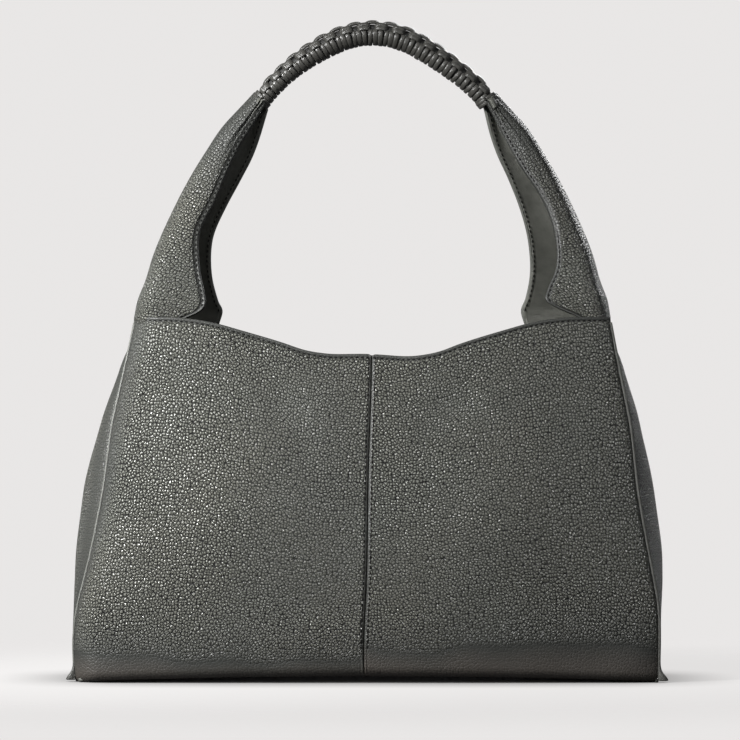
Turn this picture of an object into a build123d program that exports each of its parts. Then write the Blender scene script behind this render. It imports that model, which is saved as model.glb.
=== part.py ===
"""Slouchy hobo bag of pebbled leather: a lofted shell of sewn panels with a zip pocket
inside, and two channel-shaped straps that rise from the mouth's corners and gather
into one laced handle.

Frame: +Z up, +X to the bag's right as seen from the front, front at -Y, origin on the
floor under the middle of the bag. Millimetres.
"""
import math
import os

from build123d import *

# ---- driving dimensions -------------------------------------------------------------

CORNER_HEIGHT = 290.0        # mouth level at the bag's two top corners
SIDE_LINING_TOP = 267.0      # the side linings stop under the strap's root

LEATHER = 1.6                # body leather
FACING = 1.0                 # leather band inside the hem
FABRIC = 0.5                 # lining cloth
STRAP_LINING = 0.8           # smooth leather inside the strap channel
LAYER_GAP = 0.3              # air between two layers
SEAM_GAP = 0.4               # half the slit between two panel halves

FACING_DROP = 36.0           # how far the facing reaches below the hem
FACING_TOP = 1.0             # the facing starts this far under the hem

# The shell at each height: seam half-width, gusset bulge, seam half-depth, panel bulge
SHELL = [
    (0, 232.0, 1.0, 67.0, 1.0),
    (5, 233.0, 1.2, 73.0, 1.5),
    (14, 233.3, 1.5, 75.5, 3.0),
    (50, 232.5, 3.5, 76.0, 10.0),
    (100, 225.5, 11.0, 74.0, 15.0),
    (150, 216.0, 13.0, 70.0, 14.0),
    (200, 207.0, 8.0, 65.0, 10.0),
    (250, 197.0, 4.0, 60.0, 5.0),
    (292, 189.0, 2.5, 57.0, 1.5),
]
SHELL_HEIGHTS = [0, 5, 14, 30, 50, 75, 100, 125, 150, 175, 200, 225, 250, 270, 292]

# The mouth's edge from the middle of a panel to its side: a dip between two corners
HEM = [
    (0, 257.5), (36, 258.5), (52, 262.0), (72, 269.5), (104, 279.5),
    (130, 286.5), (155, 289.8), (178, 290.3), (205, 290.0), (240, 290.0),
]

# The right strap along its length, up from inside the mouth: the fold line's x and z,
# its lean off the vertical in degrees, the two wings' widths and half the channel's depth
STRAP = [
    (0, 190.6, 268.0, 0, 55.0, 66.0, 55.0),
    (22, 188.6, 290.0, 2, 54.0, 65.0, 53.0),
    (48, 184.5, 315.0, 12, 46.5, 57.5, 45.5),
    (74, 177.5, 340.0, 19, 37.0, 49.0, 37.0),
    (104, 166.0, 368.0, 24, 27.0, 41.0, 29.0),
    (135, 152.5, 396.0, 27, 24.0, 38.0, 23.0),
    (162, 139.5, 420.0, 31, 24.0, 36.0, 18.5),
    (187, 125.5, 440.0, 37, 22.0, 33.0, 14.5),
    (208, 111.0, 456.0, 41, 19.5, 26.0, 11.5),
    (230, 96.6, 471.7, 41, 17.0, 19.0, 9.6),
]
STRAP_FOLD = 74              # above this length the strap swings as one stiff piece
STRAP_STEP = 8.0             # spacing of the sections that the strap is lofted through

# The handle's centreline: a tight arc at the top and a wide one down each side
GRIP_TOP = 519.0
GRIP_TOP_RADIUS, GRIP_TOP_HALF_ANGLE = 70.0, 30.0
GRIP_SIDE_RADIUS, GRIP_SIDE_ANGLE = 209.0, 19.0
CORE_RADIUS, ROLL_RADIUS, WRAP_RADIUS = 5.0, 8.4, 10.3

# Base and its board
BASE_HALF = (230.0, 65.2)
BASE_LEATHER = 2.0
BOARD_HALF, BOARD_Z = (221.0, 61.5), (2.3, 4.8)
BASE_LINING_HALF, BASE_LINING_Z = (223.0, 63.0), (5.1, 5.6)

# Magnetic snap on the two facings, at the middle of the mouth
SNAP_Z, SNAP_RADIUS, SNAP_THICKNESS, SNAP_STUD = 240.0, 9.0, 2.4, 1.6
SNAP_STUD_RADIUS, SNAP_SOCKET_RADIUS = 2.88, 3.42

# Inside pockets
SLIP_HALF_WIDTH, SLIP_Z, SLIP_THICKNESS = 75.0, (80.0, 190.0), 0.8
ZIP_Z, ZIP_HALF_LENGTH = 190.0, 90.0
ZIP_TAPE_HEIGHT, ZIP_TAPE_THICKNESS = 12.0, 0.6
ZIP_TEETH_HEIGHT, ZIP_TEETH_THICKNESS, ZIP_TEETH_SLIT = 2.0, 1.4, 0.7
ZIP_STOP_GAP, ZIP_STOP_LENGTH = 0.2, 2.0
ZIP_WINDOW, ZIP_FRAME_BAND, ZIP_FRAME_THICKNESS = 6.5, 9.0, 1.0
POCKET_BAG_Z, POCKET_BAG_THICKNESS = (70.0, 200.0), 1.0
SLIDER_HALF_LENGTH, SLIDER_HALF_HEIGHT, SLIDER_PLATE = 5.0, 4.2, 0.9
SLIDER_CLEARANCE, SLIDER_X = 0.35, 82.0
BAIL_HALF_LENGTH, BAIL_HALF_WIDTH, BAIL_REACH, BAIL_WALL = 3.5, 0.8, 3.4, 1.0
PULL_LENGTH, PULL_HALF_WIDTH, PULL_THICKNESS, PULL_EYE = 34.0, 3.5, 1.2, 5.5

ROUND = 0.5523               # handle length that makes a Bezier a quarter ellipse

# Offsets of each layer in from the shell's outer face
FACING_IN = LEATHER + LAYER_GAP
LINING_IN = FACING_IN + FACING + LAYER_GAP
STRAP_IN = LINING_IN
STRAP_LINING_IN = LEATHER + LAYER_GAP

os.makedirs("parts", exist_ok=True)


# ---- shared geometry ------------------------------------------------------------------

def smooth(table, at):
    """Values of a table at a height, on a curve through its rows (Catmull-Rom)."""
    last = len(table) - 1
    row = max(i for i in range(last) if table[i][0] <= at or i == 0)
    t0, t1 = table[row][0], table[row + 1][0]
    f = (at - t0) / (t1 - t0)
    before, after = table[max(row - 1, 0)], table[min(row + 2, last)]
    found = []
    for k in range(1, len(table[0])):
        p, q = table[row][k], table[row + 1][k]
        m0 = (q - before[k]) / (t1 - before[0]) * (t1 - t0)
        m1 = (after[k] - p) / (after[0] - t0) * (t1 - t0)
        f2, f3 = f * f, f * f * f
        found.append((2 * f3 - 3 * f2 + 1) * p + (f3 - 2 * f2 + f) * m0
                     + (3 * f2 - 2 * f3) * q + (f3 - f2) * m1)
    return found


def bow(half, rise, at):
    """Height of a shallow arc over its chord, at a distance from its middle."""
    radius = (half * half + rise * rise) / (2 * rise)
    return math.sqrt(radius * radius - at * at) - (radius - rise)


def panel_point(x, z, inward):
    """A point of the front panel, a distance in from its outer face."""
    half_width, _, half_depth, bulge = smooth(SHELL, z)
    return Vector(x, -(half_depth + bow(half_width, bulge, x)) + inward, z)


def gusset_point(y, z, inward):
    """A point of the right gusset, a distance in from its outer face."""
    half_width, bulge, half_depth, _ = smooth(SHELL, z)
    return Vector(half_width + bow(half_depth, bulge, y) - inward, y, z)


def strip(point, ends, z, inward, thickness):
    """A horizontal section of one curved layer between two ends, as a closed wire."""
    start, end = ends
    near = [point(at, z, inward) for at in (start, (start + end) / 2, end)]
    far = [point(at, z, inward + thickness) for at in (end, (start + end) / 2, start)]
    return Wire([
        ThreePointArc(*near).edge(), Line(near[2], far[0]).edge(),
        ThreePointArc(*far).edge(), Line(far[2], near[0]).edge(),
    ])


def layer(point, ends_at, low, high, inward, thickness):
    """A curved layer between two heights. ends_at gives its two ends at a height."""
    heights = [low] + [z for z in SHELL_HEIGHTS if low + 1 < z < high - 1] + [high]
    return Solid.make_loft([strip(point, ends_at(z), z, inward, thickness) for z in heights])


def slab(x, y, z):
    """A box from its lowest to its highest x, y and z."""
    size = [pair[1] - pair[0] for pair in (x, y, z)]
    return Pos(x[0], y[0], z[0]) * Box(*size, align=(Align.MIN, Align.MIN, Align.MIN))


def under_hem(drop_top, drop_bottom=None):
    """The space below the mouth's edge, as a prism across the bag, or a band of it."""
    def edge(drop):
        half = [(x, z - drop) for x, z in HEM]
        return [(-x, z) for x, z in reversed(half[1:])] + half
    top = edge(drop_top)
    low = edge(drop_bottom) if drop_bottom else [(top[0][0], -1), (top[-1][0], -1)]
    curve = Spline(*[Vector(x, 0, z) for x, z in top]).edge()
    down = Line(curve @ 1, Vector(low[-1][0], 0, low[-1][1])).edge()
    if drop_bottom:
        floor = Spline(*[Vector(x, 0, z) for x, z in reversed(low)]).edge()
    else:
        floor = Line(Vector(low[1][0], 0, -1), Vector(low[0][0], 0, -1)).edge()
    up = Line(floor @ 1, curve @ 0).edge()
    face = Face(Wire([curve, down, floor, up]))
    return Solid.extrude(face, Vector(0, 240, 0)).translate(Vector(0, -120, 0))


def to_back(shape):
    """The same piece on the back of the bag."""
    return shape.mirror(Plane.XZ)


def to_left(shape):
    """The same piece on the left of the bag."""
    return shape.mirror(Plane.YZ)


def save(name, shape, colour):
    """Write one piece as a STEP file of its own."""
    piece = Part(shape.solids()) if len(shape.solids()) > 1 else shape.solids()[0]
    piece.label, piece.color = name, Color(*colour)
    export_step(piece, f"parts/{name}.step")


# ---- sewn body --------------------------------------------------------------------------

HIDE, SMOOTH_HIDE = (0.17, 0.17, 0.15), (0.25, 0.25, 0.22)
CLOTH, METAL = (0.45, 0.40, 0.33), (0.70, 0.66, 0.55)
BOARD, LACE = (0.30, 0.28, 0.25), (0.10, 0.10, 0.09)


def half_panel():
    """The right half of the front panel, from the floor to the hem."""
    def ends(z):
        return SEAM_GAP, smooth(SHELL, z)[0]
    blank = layer(panel_point, ends, 0, SHELL_HEIGHTS[-1], 0, LEATHER)
    return blank & under_hem(0)


def gusset():
    """The right side, between the seams of the front and back panels."""
    def ends(z):
        half_depth = smooth(SHELL, z)[2] - LEATHER - LAYER_GAP
        return -half_depth, half_depth
    return layer(gusset_point, ends, 0, CORNER_HEIGHT, 0, LEATHER)


def facing():
    """The leather band sewn inside the front hem."""
    def ends(z):
        half_width = smooth(SHELL, z)[0] - STRAP_IN
        return -half_width, half_width
    blank = layer(panel_point, ends, HEM[0][1] - FACING_DROP - 6, SHELL_HEIGHTS[-1],
                  FACING_IN, FACING)
    return blank & under_hem(FACING_TOP, FACING_DROP)


def front_lining():
    """Cloth inside the front panel, from the base up to the facing."""
    def ends(z):
        half_width = smooth(SHELL, z)[0] - STRAP_IN - LAYER_GAP
        return -half_width, half_width
    blank = layer(panel_point, ends, 7, 262, LINING_IN, FABRIC)
    return blank & under_hem(FACING_DROP + LAYER_GAP)


def side_lining():
    """Cloth inside the right gusset, up to the strap's root."""
    def ends(z):
        half_depth = smooth(SHELL, z)[2] - STRAP_IN - 2 * LAYER_GAP
        return -half_depth, half_depth
    return layer(gusset_point, ends, 7, SIDE_LINING_TOP, LINING_IN, FABRIC)


def plate(half, z):
    """A flat rectangular sheet centred under the bag."""
    return slab((-half[0], half[0]), (-half[1], half[1]), z)


def make_body():
    front_right, side, band = half_panel(), gusset(), facing()
    save("front_panel_right", front_right, HIDE)
    save("front_panel_left", to_left(front_right), HIDE)
    save("back_panel_right", to_back(front_right), HIDE)
    save("back_panel_left", to_back(to_left(front_right)), HIDE)
    save("gusset_right", side, HIDE)
    save("gusset_left", to_left(side), HIDE)
    save("front_facing", band, SMOOTH_HIDE)
    save("back_facing", to_back(band), SMOOTH_HIDE)
    save("base_panel", plate(BASE_HALF, (0, BASE_LEATHER)), HIDE)
    save("base_board", plate(BOARD_HALF, BOARD_Z), BOARD)
    save("lining_base", plate(BASE_LINING_HALF, BASE_LINING_Z), CLOTH)
    front, right = front_lining(), side_lining()
    save("lining_front", front, CLOTH)
    save("lining_back", to_back(front), CLOTH)
    save("lining_right", right, CLOTH)
    save("lining_left", to_left(right), CLOTH)


# ---- straps -------------------------------------------------------------------------------

def channel_section(station, inward, thickness):
    """A U-shaped section of the right strap, open towards the middle of the bag."""
    x, z, lean, front, back, half_depth = station
    tilt = math.radians(lean)

    def at(u, v):
        return Vector(x - u * math.cos(tilt), v, z - u * math.sin(tilt))

    def face(inset):
        """The channel's outline at one face: a wing, two quarter ellipses and a wing."""
        depth, turn = half_depth - inset, 0.5 * half_depth + 0.5 * inset
        bulge, flare = ROUND * (turn - inset), ROUND * depth
        points = [at(front, -depth), at(turn, -depth), at(inset, 0), at(turn, depth), at(back, depth)]
        return points, [
            Line(points[0], points[1]).edge(),
            Bezier(points[1], at(turn - bulge, -depth), at(inset, -flare), points[2]).edge(),
            Bezier(points[2], at(inset, flare), at(turn - bulge, depth), points[3]).edge(),
            Line(points[3], points[4]).edge(),
        ]
    outer, outer_edges = face(inward)
    inner, inner_edges = face(inward + thickness)
    return Wire([*outer_edges, Line(outer[-1], inner[-1]).edge(),
                 *inner_edges[::-1], Line(inner[0], outer[0]).edge()])


def channel(low, high, inward, thickness):
    """A stretch of strap channel between two places along its length."""
    count = math.ceil((high - low) / STRAP_STEP)
    places = [low + (high - low) * i / count for i in range(count + 1)]
    sections = [channel_section(smooth(STRAP, at), inward, thickness) for at in places]
    return Solid.make_loft(sections, ruled=True)


def make_straps():
    root, rise = (STRAP[0][0], STRAP_FOLD), (STRAP_FOLD, STRAP[-1][0])
    pieces = {
        "strap_root": (root, 0, LEATHER, HIDE),
        "strap_root_lining": (root, STRAP_LINING_IN, STRAP_LINING, SMOOTH_HIDE),
        "strap": (rise, 0, LEATHER, HIDE),
        "strap_lining": (rise, STRAP_LINING_IN, STRAP_LINING, SMOOTH_HIDE),
    }
    for name, (stretch, inward, thickness, colour) in pieces.items():
        right = channel(*stretch, inward, thickness)
        save(f"{name}_right", right, colour)
        save(f"{name}_left", to_left(right), colour)


# ---- laced handle -----------------------------------------------------------------------------

def grip_path():
    """The handle's centreline, from its left end over the top to its right end."""
    half = math.radians(GRIP_TOP_HALF_ANGLE)
    end = math.radians(GRIP_TOP_HALF_ANGLE + GRIP_SIDE_ANGLE)
    middle = (half + end) / 2
    top_centre = GRIP_TOP - GRIP_TOP_RADIUS
    joint = (GRIP_TOP_RADIUS * math.sin(half), top_centre + GRIP_TOP_RADIUS * math.cos(half))
    side_centre = (joint[0] - GRIP_SIDE_RADIUS * math.sin(half),
                   joint[1] - GRIP_SIDE_RADIUS * math.cos(half))

    def side(angle):
        return Vector(side_centre[0] + GRIP_SIDE_RADIUS * math.sin(angle), 0,
                      side_centre[1] + GRIP_SIDE_RADIUS * math.cos(angle))

    def mirrored(point):
        return Vector(-point.X, 0, point.Z)
    join, turn, tip = side(half), side(middle), side(end)
    return Wire([
        ThreePointArc(mirrored(tip), mirrored(turn), mirrored(join)).edge(),
        ThreePointArc(mirrored(join), Vector(0, 0, GRIP_TOP), join).edge(),
        ThreePointArc(join, turn, tip).edge(),
    ])


def rod(path, radius):
    """A round rod along a path."""
    start = Plane(origin=path @ 0, z_dir=path % 0)
    return sweep(start * Circle(radius), path)


def make_handle():
    path = grip_path()
    core = rod(path, CORE_RADIUS)
    roll = rod(path, ROLL_RADIUS) - rod(path, CORE_RADIUS + LAYER_GAP / 3)
    wrap = rod(path, WRAP_RADIUS) - rod(path, ROLL_RADIUS + LAYER_GAP / 3)
    save("handle_core", core, BOARD)
    save("handle_roll", roll, SMOOTH_HIDE)
    save("handle_wrap", wrap, LACE)


# ---- snap and pockets -----------------------------------------------------------------------------

def disc(radius, thickness, depth):
    """A disc on the front facing at the snap's height, from a depth in off the facing."""
    face = panel_point(0, SNAP_Z, FACING_IN + FACING)
    slope = panel_point(0, SNAP_Z + 5, 0).Y - panel_point(0, SNAP_Z - 5, 0).Y
    lean = math.degrees(math.atan2(slope, 10))
    place = Pos(face.X, face.Y, face.Z) * Rot(-90 - lean, 0, 0)
    return place * Pos(0, 0, depth + thickness / 2) * Cylinder(radius, thickness)


def make_snap():
    top = LAYER_GAP + SNAP_THICKNESS
    stud = disc(SNAP_RADIUS, SNAP_THICKNESS, LAYER_GAP)
    stud += disc(SNAP_STUD_RADIUS, SNAP_STUD, top)
    socket = disc(SNAP_RADIUS, SNAP_THICKNESS, LAYER_GAP)
    socket -= disc(SNAP_SOCKET_RADIUS, SNAP_STUD, top - SNAP_STUD)
    save("snap_stud", stud, METAL)
    save("snap_socket", to_back(socket), METAL)


def slip_pocket():
    """A flat leather pocket sewn to the front lining."""
    def ends(_):
        return -SLIP_HALF_WIDTH, SLIP_HALF_WIDTH
    return layer(panel_point, ends, *SLIP_Z, LINING_IN + FABRIC + LAYER_GAP, SLIP_THICKNESS)


def zip_levels():
    """Where the zip's tape, frame and teeth have their front faces along Y."""
    half_length, half_height = ZIP_HALF_LENGTH + ZIP_FRAME_BAND, ZIP_WINDOW + ZIP_FRAME_BAND
    corners = [panel_point(half_length, ZIP_Z + dz, 0).Y for dz in (-half_height, half_height)]
    lining = -max(corners) - LINING_IN - FABRIC
    tape = lining - SLIDER_PLATE - 2 * SLIDER_CLEARANCE - ZIP_TAPE_THICKNESS
    return tape, tape - LAYER_GAP / 3 - ZIP_FRAME_THICKNESS, tape - LAYER_GAP / 3 - ZIP_TEETH_THICKNESS


def zip_frame(y):
    """The leather frame around the zip's window."""
    half_length, half_height = ZIP_HALF_LENGTH + ZIP_FRAME_BAND, ZIP_WINDOW + ZIP_FRAME_BAND
    span = (y, y + ZIP_FRAME_THICKNESS)
    outer = slab((-half_length, half_length), span, (ZIP_Z - half_height, ZIP_Z + half_height))
    window = slab((-ZIP_HALF_LENGTH - 3, ZIP_HALF_LENGTH + 3), span,
                  (ZIP_Z - ZIP_WINDOW, ZIP_Z + ZIP_WINDOW))
    return outer - window


def zip_slider(tape_y, teeth_y):
    """Two plates around the teeth, a post between the rows, and a bail for the pull."""
    x = (SLIDER_X - SLIDER_HALF_LENGTH, SLIDER_X + SLIDER_HALF_LENGTH)
    z = (ZIP_Z - SLIDER_HALF_HEIGHT, ZIP_Z + SLIDER_HALF_HEIGHT)
    front = teeth_y - SLIDER_CLEARANCE
    back = tape_y + ZIP_TAPE_THICKNESS + SLIDER_CLEARANCE
    post = ZIP_TEETH_SLIT - SLIDER_CLEARANCE
    body = slab(x, (front - SLIDER_PLATE, front), z) + slab(x, (back, back + SLIDER_PLATE), z)
    body += slab((SLIDER_X + 1, SLIDER_X + 4), (front, back), (ZIP_Z - post, ZIP_Z + post))
    top = front - SLIDER_PLATE
    bail_z = (ZIP_Z - BAIL_HALF_WIDTH, ZIP_Z + BAIL_HALF_WIDTH)
    outer, inner = BAIL_HALF_LENGTH, BAIL_HALF_LENGTH - BAIL_WALL
    bail = slab((SLIDER_X - outer, SLIDER_X + outer), (top - BAIL_REACH, top), bail_z)
    bail -= slab((SLIDER_X - inner, SLIDER_X + inner), (top - BAIL_REACH + BAIL_WALL, top), bail_z)
    return body + bail, top - (BAIL_REACH - BAIL_WALL) / 2


def zip_pull(pivot_y):
    """A flat pull whose round crossbar turns under the slider's bail."""
    half, eye = PULL_THICKNESS / 2, BAIL_HALF_WIDTH + SLIDER_CLEARANCE
    y = (pivot_y - half, pivot_y + half)
    blade = slab((SLIDER_X - PULL_LENGTH, SLIDER_X), y,
                 (ZIP_Z - PULL_HALF_WIDTH, ZIP_Z + PULL_HALF_WIDTH))
    blade -= slab((SLIDER_X - PULL_EYE, SLIDER_X), y, (ZIP_Z - eye, ZIP_Z + eye))
    crossbar = Pos(SLIDER_X, pivot_y, ZIP_Z) * Cylinder(half, 2 * PULL_HALF_WIDTH)
    return blade + crossbar


def make_pockets():
    save("slip_pocket", slip_pocket(), SMOOTH_HIDE)
    bag_ends = -ZIP_HALF_LENGTH - ZIP_FRAME_BAND, ZIP_HALF_LENGTH + ZIP_FRAME_BAND
    bag = layer(panel_point, lambda _: bag_ends, *POCKET_BAG_Z, FACING_IN, POCKET_BAG_THICKNESS)
    save("zip_pocket_bag", to_back(bag), CLOTH)

    tape_y, frame_y, teeth_y = zip_levels()
    save("zip_frame", zip_frame(frame_y), SMOOTH_HIDE)
    length = (-ZIP_HALF_LENGTH, ZIP_HALF_LENGTH)
    for name, side in (("upper", 1), ("lower", -1)):
        tape_z = sorted((ZIP_Z + side * ZIP_TEETH_SLIT, ZIP_Z + side * ZIP_TAPE_HEIGHT))
        teeth_z = sorted((ZIP_Z + side * ZIP_TEETH_SLIT,
                          ZIP_Z + side * (ZIP_TEETH_SLIT + ZIP_TEETH_HEIGHT)))
        save(f"zip_tape_{name}", slab(length, (tape_y, tape_y + ZIP_TAPE_THICKNESS), tape_z), CLOTH)
        save(f"zip_coil_{name}", slab(length, (teeth_y, teeth_y + ZIP_TEETH_THICKNESS), teeth_z), METAL)
    stop_z = (ZIP_Z - ZIP_TEETH_HEIGHT, ZIP_Z + ZIP_TEETH_HEIGHT)
    stop_x = ZIP_HALF_LENGTH + ZIP_STOP_GAP
    stop = slab((stop_x, stop_x + ZIP_STOP_LENGTH), (frame_y, tape_y), stop_z)
    save("zip_stop_right", stop, METAL)
    save("zip_stop_left", to_left(stop), METAL)

    slider, pivot_y = zip_slider(tape_y, teeth_y)
    save("zip_slider", slider, METAL)
    save("zip_pull", zip_pull(pivot_y), METAL)
    print("zip pull pivot:", SLIDER_X, round(pivot_y, 3), ZIP_Z)


make_body()
make_straps()
make_handle()
make_snap()
make_pockets()
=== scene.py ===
"""The looks of a slouchy pebbled-leather hobo bag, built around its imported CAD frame.

Lengths in the tables are millimetres in the row frame: +Z up, front at -Y. Each side of
the bag is worked out for +X and mirrored, then the whole bag leans a little to the right.
"""
import math

import bpy
import numpy as np
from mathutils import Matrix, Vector


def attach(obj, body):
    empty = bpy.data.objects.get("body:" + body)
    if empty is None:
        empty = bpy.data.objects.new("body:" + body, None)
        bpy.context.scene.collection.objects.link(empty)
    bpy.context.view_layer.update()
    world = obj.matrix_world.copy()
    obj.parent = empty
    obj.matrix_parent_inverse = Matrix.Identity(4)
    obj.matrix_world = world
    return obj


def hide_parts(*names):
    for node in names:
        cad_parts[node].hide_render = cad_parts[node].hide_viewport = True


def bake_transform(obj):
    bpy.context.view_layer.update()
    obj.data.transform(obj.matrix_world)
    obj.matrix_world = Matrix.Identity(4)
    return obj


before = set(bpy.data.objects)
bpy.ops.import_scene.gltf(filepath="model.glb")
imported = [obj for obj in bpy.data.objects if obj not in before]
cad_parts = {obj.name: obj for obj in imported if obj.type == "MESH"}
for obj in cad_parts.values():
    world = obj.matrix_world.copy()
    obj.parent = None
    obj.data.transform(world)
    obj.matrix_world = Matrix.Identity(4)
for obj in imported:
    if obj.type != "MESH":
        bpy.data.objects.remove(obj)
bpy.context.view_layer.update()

MM = 0.001
LEAN = 0.012                 # sideways lean of the standing bag, per unit of height
SLUMP = 0.0018               # how far the foot of the bag has slid the other way
LEATHER, FACING, STRAP_LINING, BOARD_SHEET = 1.6, 1.0, 0.8, 1.6
SIDES = {"left": -1, "right": 1}
FACES = {"front": -1, "back": 1}

# The shell at each height: seam half-width, gusset bulge, seam half-depth, panel bulge
SHELL = [
    (0, 232.0, 0.5, 73.5, 6.0),
    (14, 232.5, 1.5, 75.0, 7.0),
    (50, 232.0, 4.0, 76.0, 10.0),
    (100, 222.5, 13.5, 74.0, 15.0),
    (150, 213.0, 15.0, 70.0, 14.0),
    (200, 207.0, 8.0, 65.0, 10.0),
    (250, 197.0, 4.0, 60.0, 5.0),
    (292, 189.0, 2.5, 57.0, 1.5),
]
# The mouth's edge from the middle of a panel to its side
HEM = [
    (0, 257.5), (36, 258.5), (52, 262.0), (72, 269.5), (104, 279.5),
    (130, 286.5), (155, 289.8), (178, 290.3), (205, 290.0),
]
# How each panel turns back before its side seams: width of the turn and how far it goes
EDGE_TURN = 20.0
EDGE_DROP = {("front", -1): 25.0, ("front", 1): 5.5, ("back", -1): 12.0, ("back", 1): 12.0}
ARCH = 5.0                   # the front and back lower edges lift this much in the middle
FOLD = 8.0                   # radius of the fold from panel to base
HEM_STITCH, SEAM_STITCH, EDGE_STITCH = 2.9, 2.6, 3.0
STITCH_PITCH = 4.2

# Along the strap from the mouth: length, fold line x and z, half-depth, turn of the fold
STRAP = [
    (0, 191.6, 290.0, 54.6, 17.0),
    (15, 188.6, 305.0, 52.2, 17.0),
    (28, 183.6, 318.0, 48.5, 17.0),
    (52, 177.0, 341.0, 40.0, 17.0),
    (82, 165.5, 369.0, 30.5, 15.0),
    (112, 152.0, 396.0, 23.5, 12.0),
    (139, 138.8, 420.0, 19.0, 10.0),
    (163, 124.8, 440.0, 15.0, 8.5),
    (184, 110.5, 456.0, 12.0, 8.0),
    (205, 96.6, 471.6, 10.2, 7.5),
]
# Free edges of the strap's front and back wings at the same lengths, x and z
FRONT_EDGE = {
    "left": [
        (0, 160.0, 281.0), (6, 150.5, 288.5), (10, 141.0, 292.5), (14, 135.0, 296.5),
        (18, 133.0, 300.5), (28, 134.0, 309.0),
        (52, 138.0, 327.0), (82, 139.3, 357.0), (112, 127.5, 383.5), (139, 118.5, 406.0),
        (163, 109.0, 426.5), (184, 98.5, 444.0), (205, 87.5, 462.0),
    ],
    "right": [
        (0, 172.0, 285.0), (6, 160.0, 292.0), (10, 148.5, 297.0), (14, 140.5, 301.0),
        (18, 138.0, 304.5), (28, 139.0, 311.0),
        (52, 146.3, 330.0), (82, 144.6, 360.0), (112, 134.0, 387.0), (139, 119.5, 408.5),
        (163, 108.5, 427.0), (184, 98.6, 445.5), (205, 89.0, 463.5),
    ],
}
BACK_EDGE = {
    "left": [
        (0, 128.0, 274.0), (8, 124.5, 286.0), (15, 122.0, 294.5), (28, 125.4, 304.0),
        (52, 130.3, 324.0), (82, 130.7, 353.0), (112, 120.0, 379.0), (139, 107.3, 401.5),
        (163, 98.3, 419.5), (184, 91.2, 438.0), (205, 85.0, 458.0),
    ],
    "right": [
        (0, 127.0, 276.0), (8, 123.3, 287.0), (15, 121.0, 295.0), (28, 124.3, 306.0),
        (52, 127.3, 325.0), (82, 126.0, 352.0), (112, 117.8, 380.5), (139, 108.0, 402.5),
        (163, 99.3, 421.0), (184, 92.0, 440.0), (205, 86.5, 459.5),
    ],
}

# The handle: two arcs a side, the lace over its roll, and the lace's cells along it
GRIP_TOP, GRIP_TOP_RADIUS, GRIP_TOP_ANGLE = 519.0, 70.0, 30.0
GRIP_SIDE_RADIUS, GRIP_SIDE_ANGLE = 209.0, 19.0
GRIP_SHIFT = -2.6            # the handle's top sits this far off the lean
ROLL_RADIUS, LACE_RADIUS, LACE_CELLS = 7.6, 10.0, 16
GRIP_HALF = (GRIP_TOP_RADIUS * math.radians(GRIP_TOP_ANGLE)
             + GRIP_SIDE_RADIUS * math.radians(GRIP_SIDE_ANGLE))
# The lining hangs this far in from the gussets and panels, this far over their lower edges
LINING_IN_SIDE, LINING_IN_FACE, LINING_LIFT = 4.2, 3.9, 5.2
ZIP_WALL = 68.2              # how far back the lining lies behind the zip


# ---- numbers ----

def curve(table, at):
    """A table's values at an array of places, on a smooth curve through its rows."""
    rows, at = np.array(table, float), np.asarray(at, float)
    t, values = rows[:, 0], rows[:, 1:]
    slopes = np.gradient(values, t, axis=0)
    i = np.clip(np.searchsorted(t, at, side="right") - 1, 0, len(t) - 2)
    h = (t[i + 1] - t[i])[..., None]
    f = np.clip((at - t[i]) / h[..., 0], 0, 1)[..., None]
    f2, f3 = f * f, f * f * f
    return ((2 * f3 - 3 * f2 + 1) * values[i] + (f3 - 2 * f2 + f) * h * slopes[i]
            + (3 * f2 - 2 * f3) * values[i + 1] + (f3 - f2) * h * slopes[i + 1])


def columns(table, at):
    """A table's values at an array of places, as one array for each column."""
    return np.moveaxis(curve(table, at), -1, 0)


def step(low, high, at):
    """0 below low, 1 above high and a smooth rise between."""
    f = np.clip((np.asarray(at, float) - low) / (high - low), 0, 1)
    return f * f * (3 - 2 * f)


def bump(at, centre, width):
    """A soft bell of height 1."""
    return np.exp(-((at - centre) / width) ** 2)


def wander(a, b, scale, seed):
    """Smooth noise from -1 to 1 over two arrays of lengths."""
    lattice = np.random.RandomState(seed).uniform(-1, 1, (64, 64))
    x, y = np.asarray(a) / scale + 32.3, np.asarray(b) / scale + 32.7
    i, j = np.floor(x).astype(int), np.floor(y).astype(int)
    f, g = x - i, y - j
    f, g = f * f * (3 - 2 * f), g * g * (3 - 2 * g)
    i, j = i % 63, j % 63
    near = lattice[i, j] * (1 - f) + lattice[i + 1, j] * f
    far = lattice[i, j + 1] * (1 - f) + lattice[i + 1, j + 1] * f
    return near * (1 - g) + far * g


def bow(half, rise, at):
    """Height of a shallow arc over its chord, at a distance from its middle."""
    radius = (half * half + rise * rise) / (2 * rise)
    return np.sqrt(np.maximum(radius * radius - at * at, 0)) - (radius - rise)


def unit(vectors):
    """Vectors scaled to a length of 1."""
    return vectors / np.linalg.norm(vectors, axis=-1, keepdims=True)


def lengths_along(path):
    """The distance along a polyline to each of its points."""
    return np.concatenate([[0], np.cumsum(np.linalg.norm(np.diff(path, axis=0), axis=1))])


def between(at, lengths, values):
    """Vectors at places along a polyline, from those at its points."""
    return np.stack([np.interp(at, lengths, values[:, k]) for k in range(3)], axis=1)


def spaced(marks):
    """Places along a line whose spacing changes: marks are (place, spacing up to it)."""
    places = [marks[0][0]]
    for (low, _), (high, gap) in zip(marks, marks[1:]):
        count = max(1, round((high - low) / gap))
        places += [low + (high - low) * (k + 1) / count for k in range(count)]
    return np.array(places)


# ---- meshes ----

def placed(points, side=1):
    """Leaning row-frame metres from millimetres worked out for the right side."""
    out = np.array(points, float) * MM
    out[..., 0] = out[..., 0] * side + LEAN * out[..., 2] - SLUMP * bump(out[..., 2], 0.03, 0.04)
    return out


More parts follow.
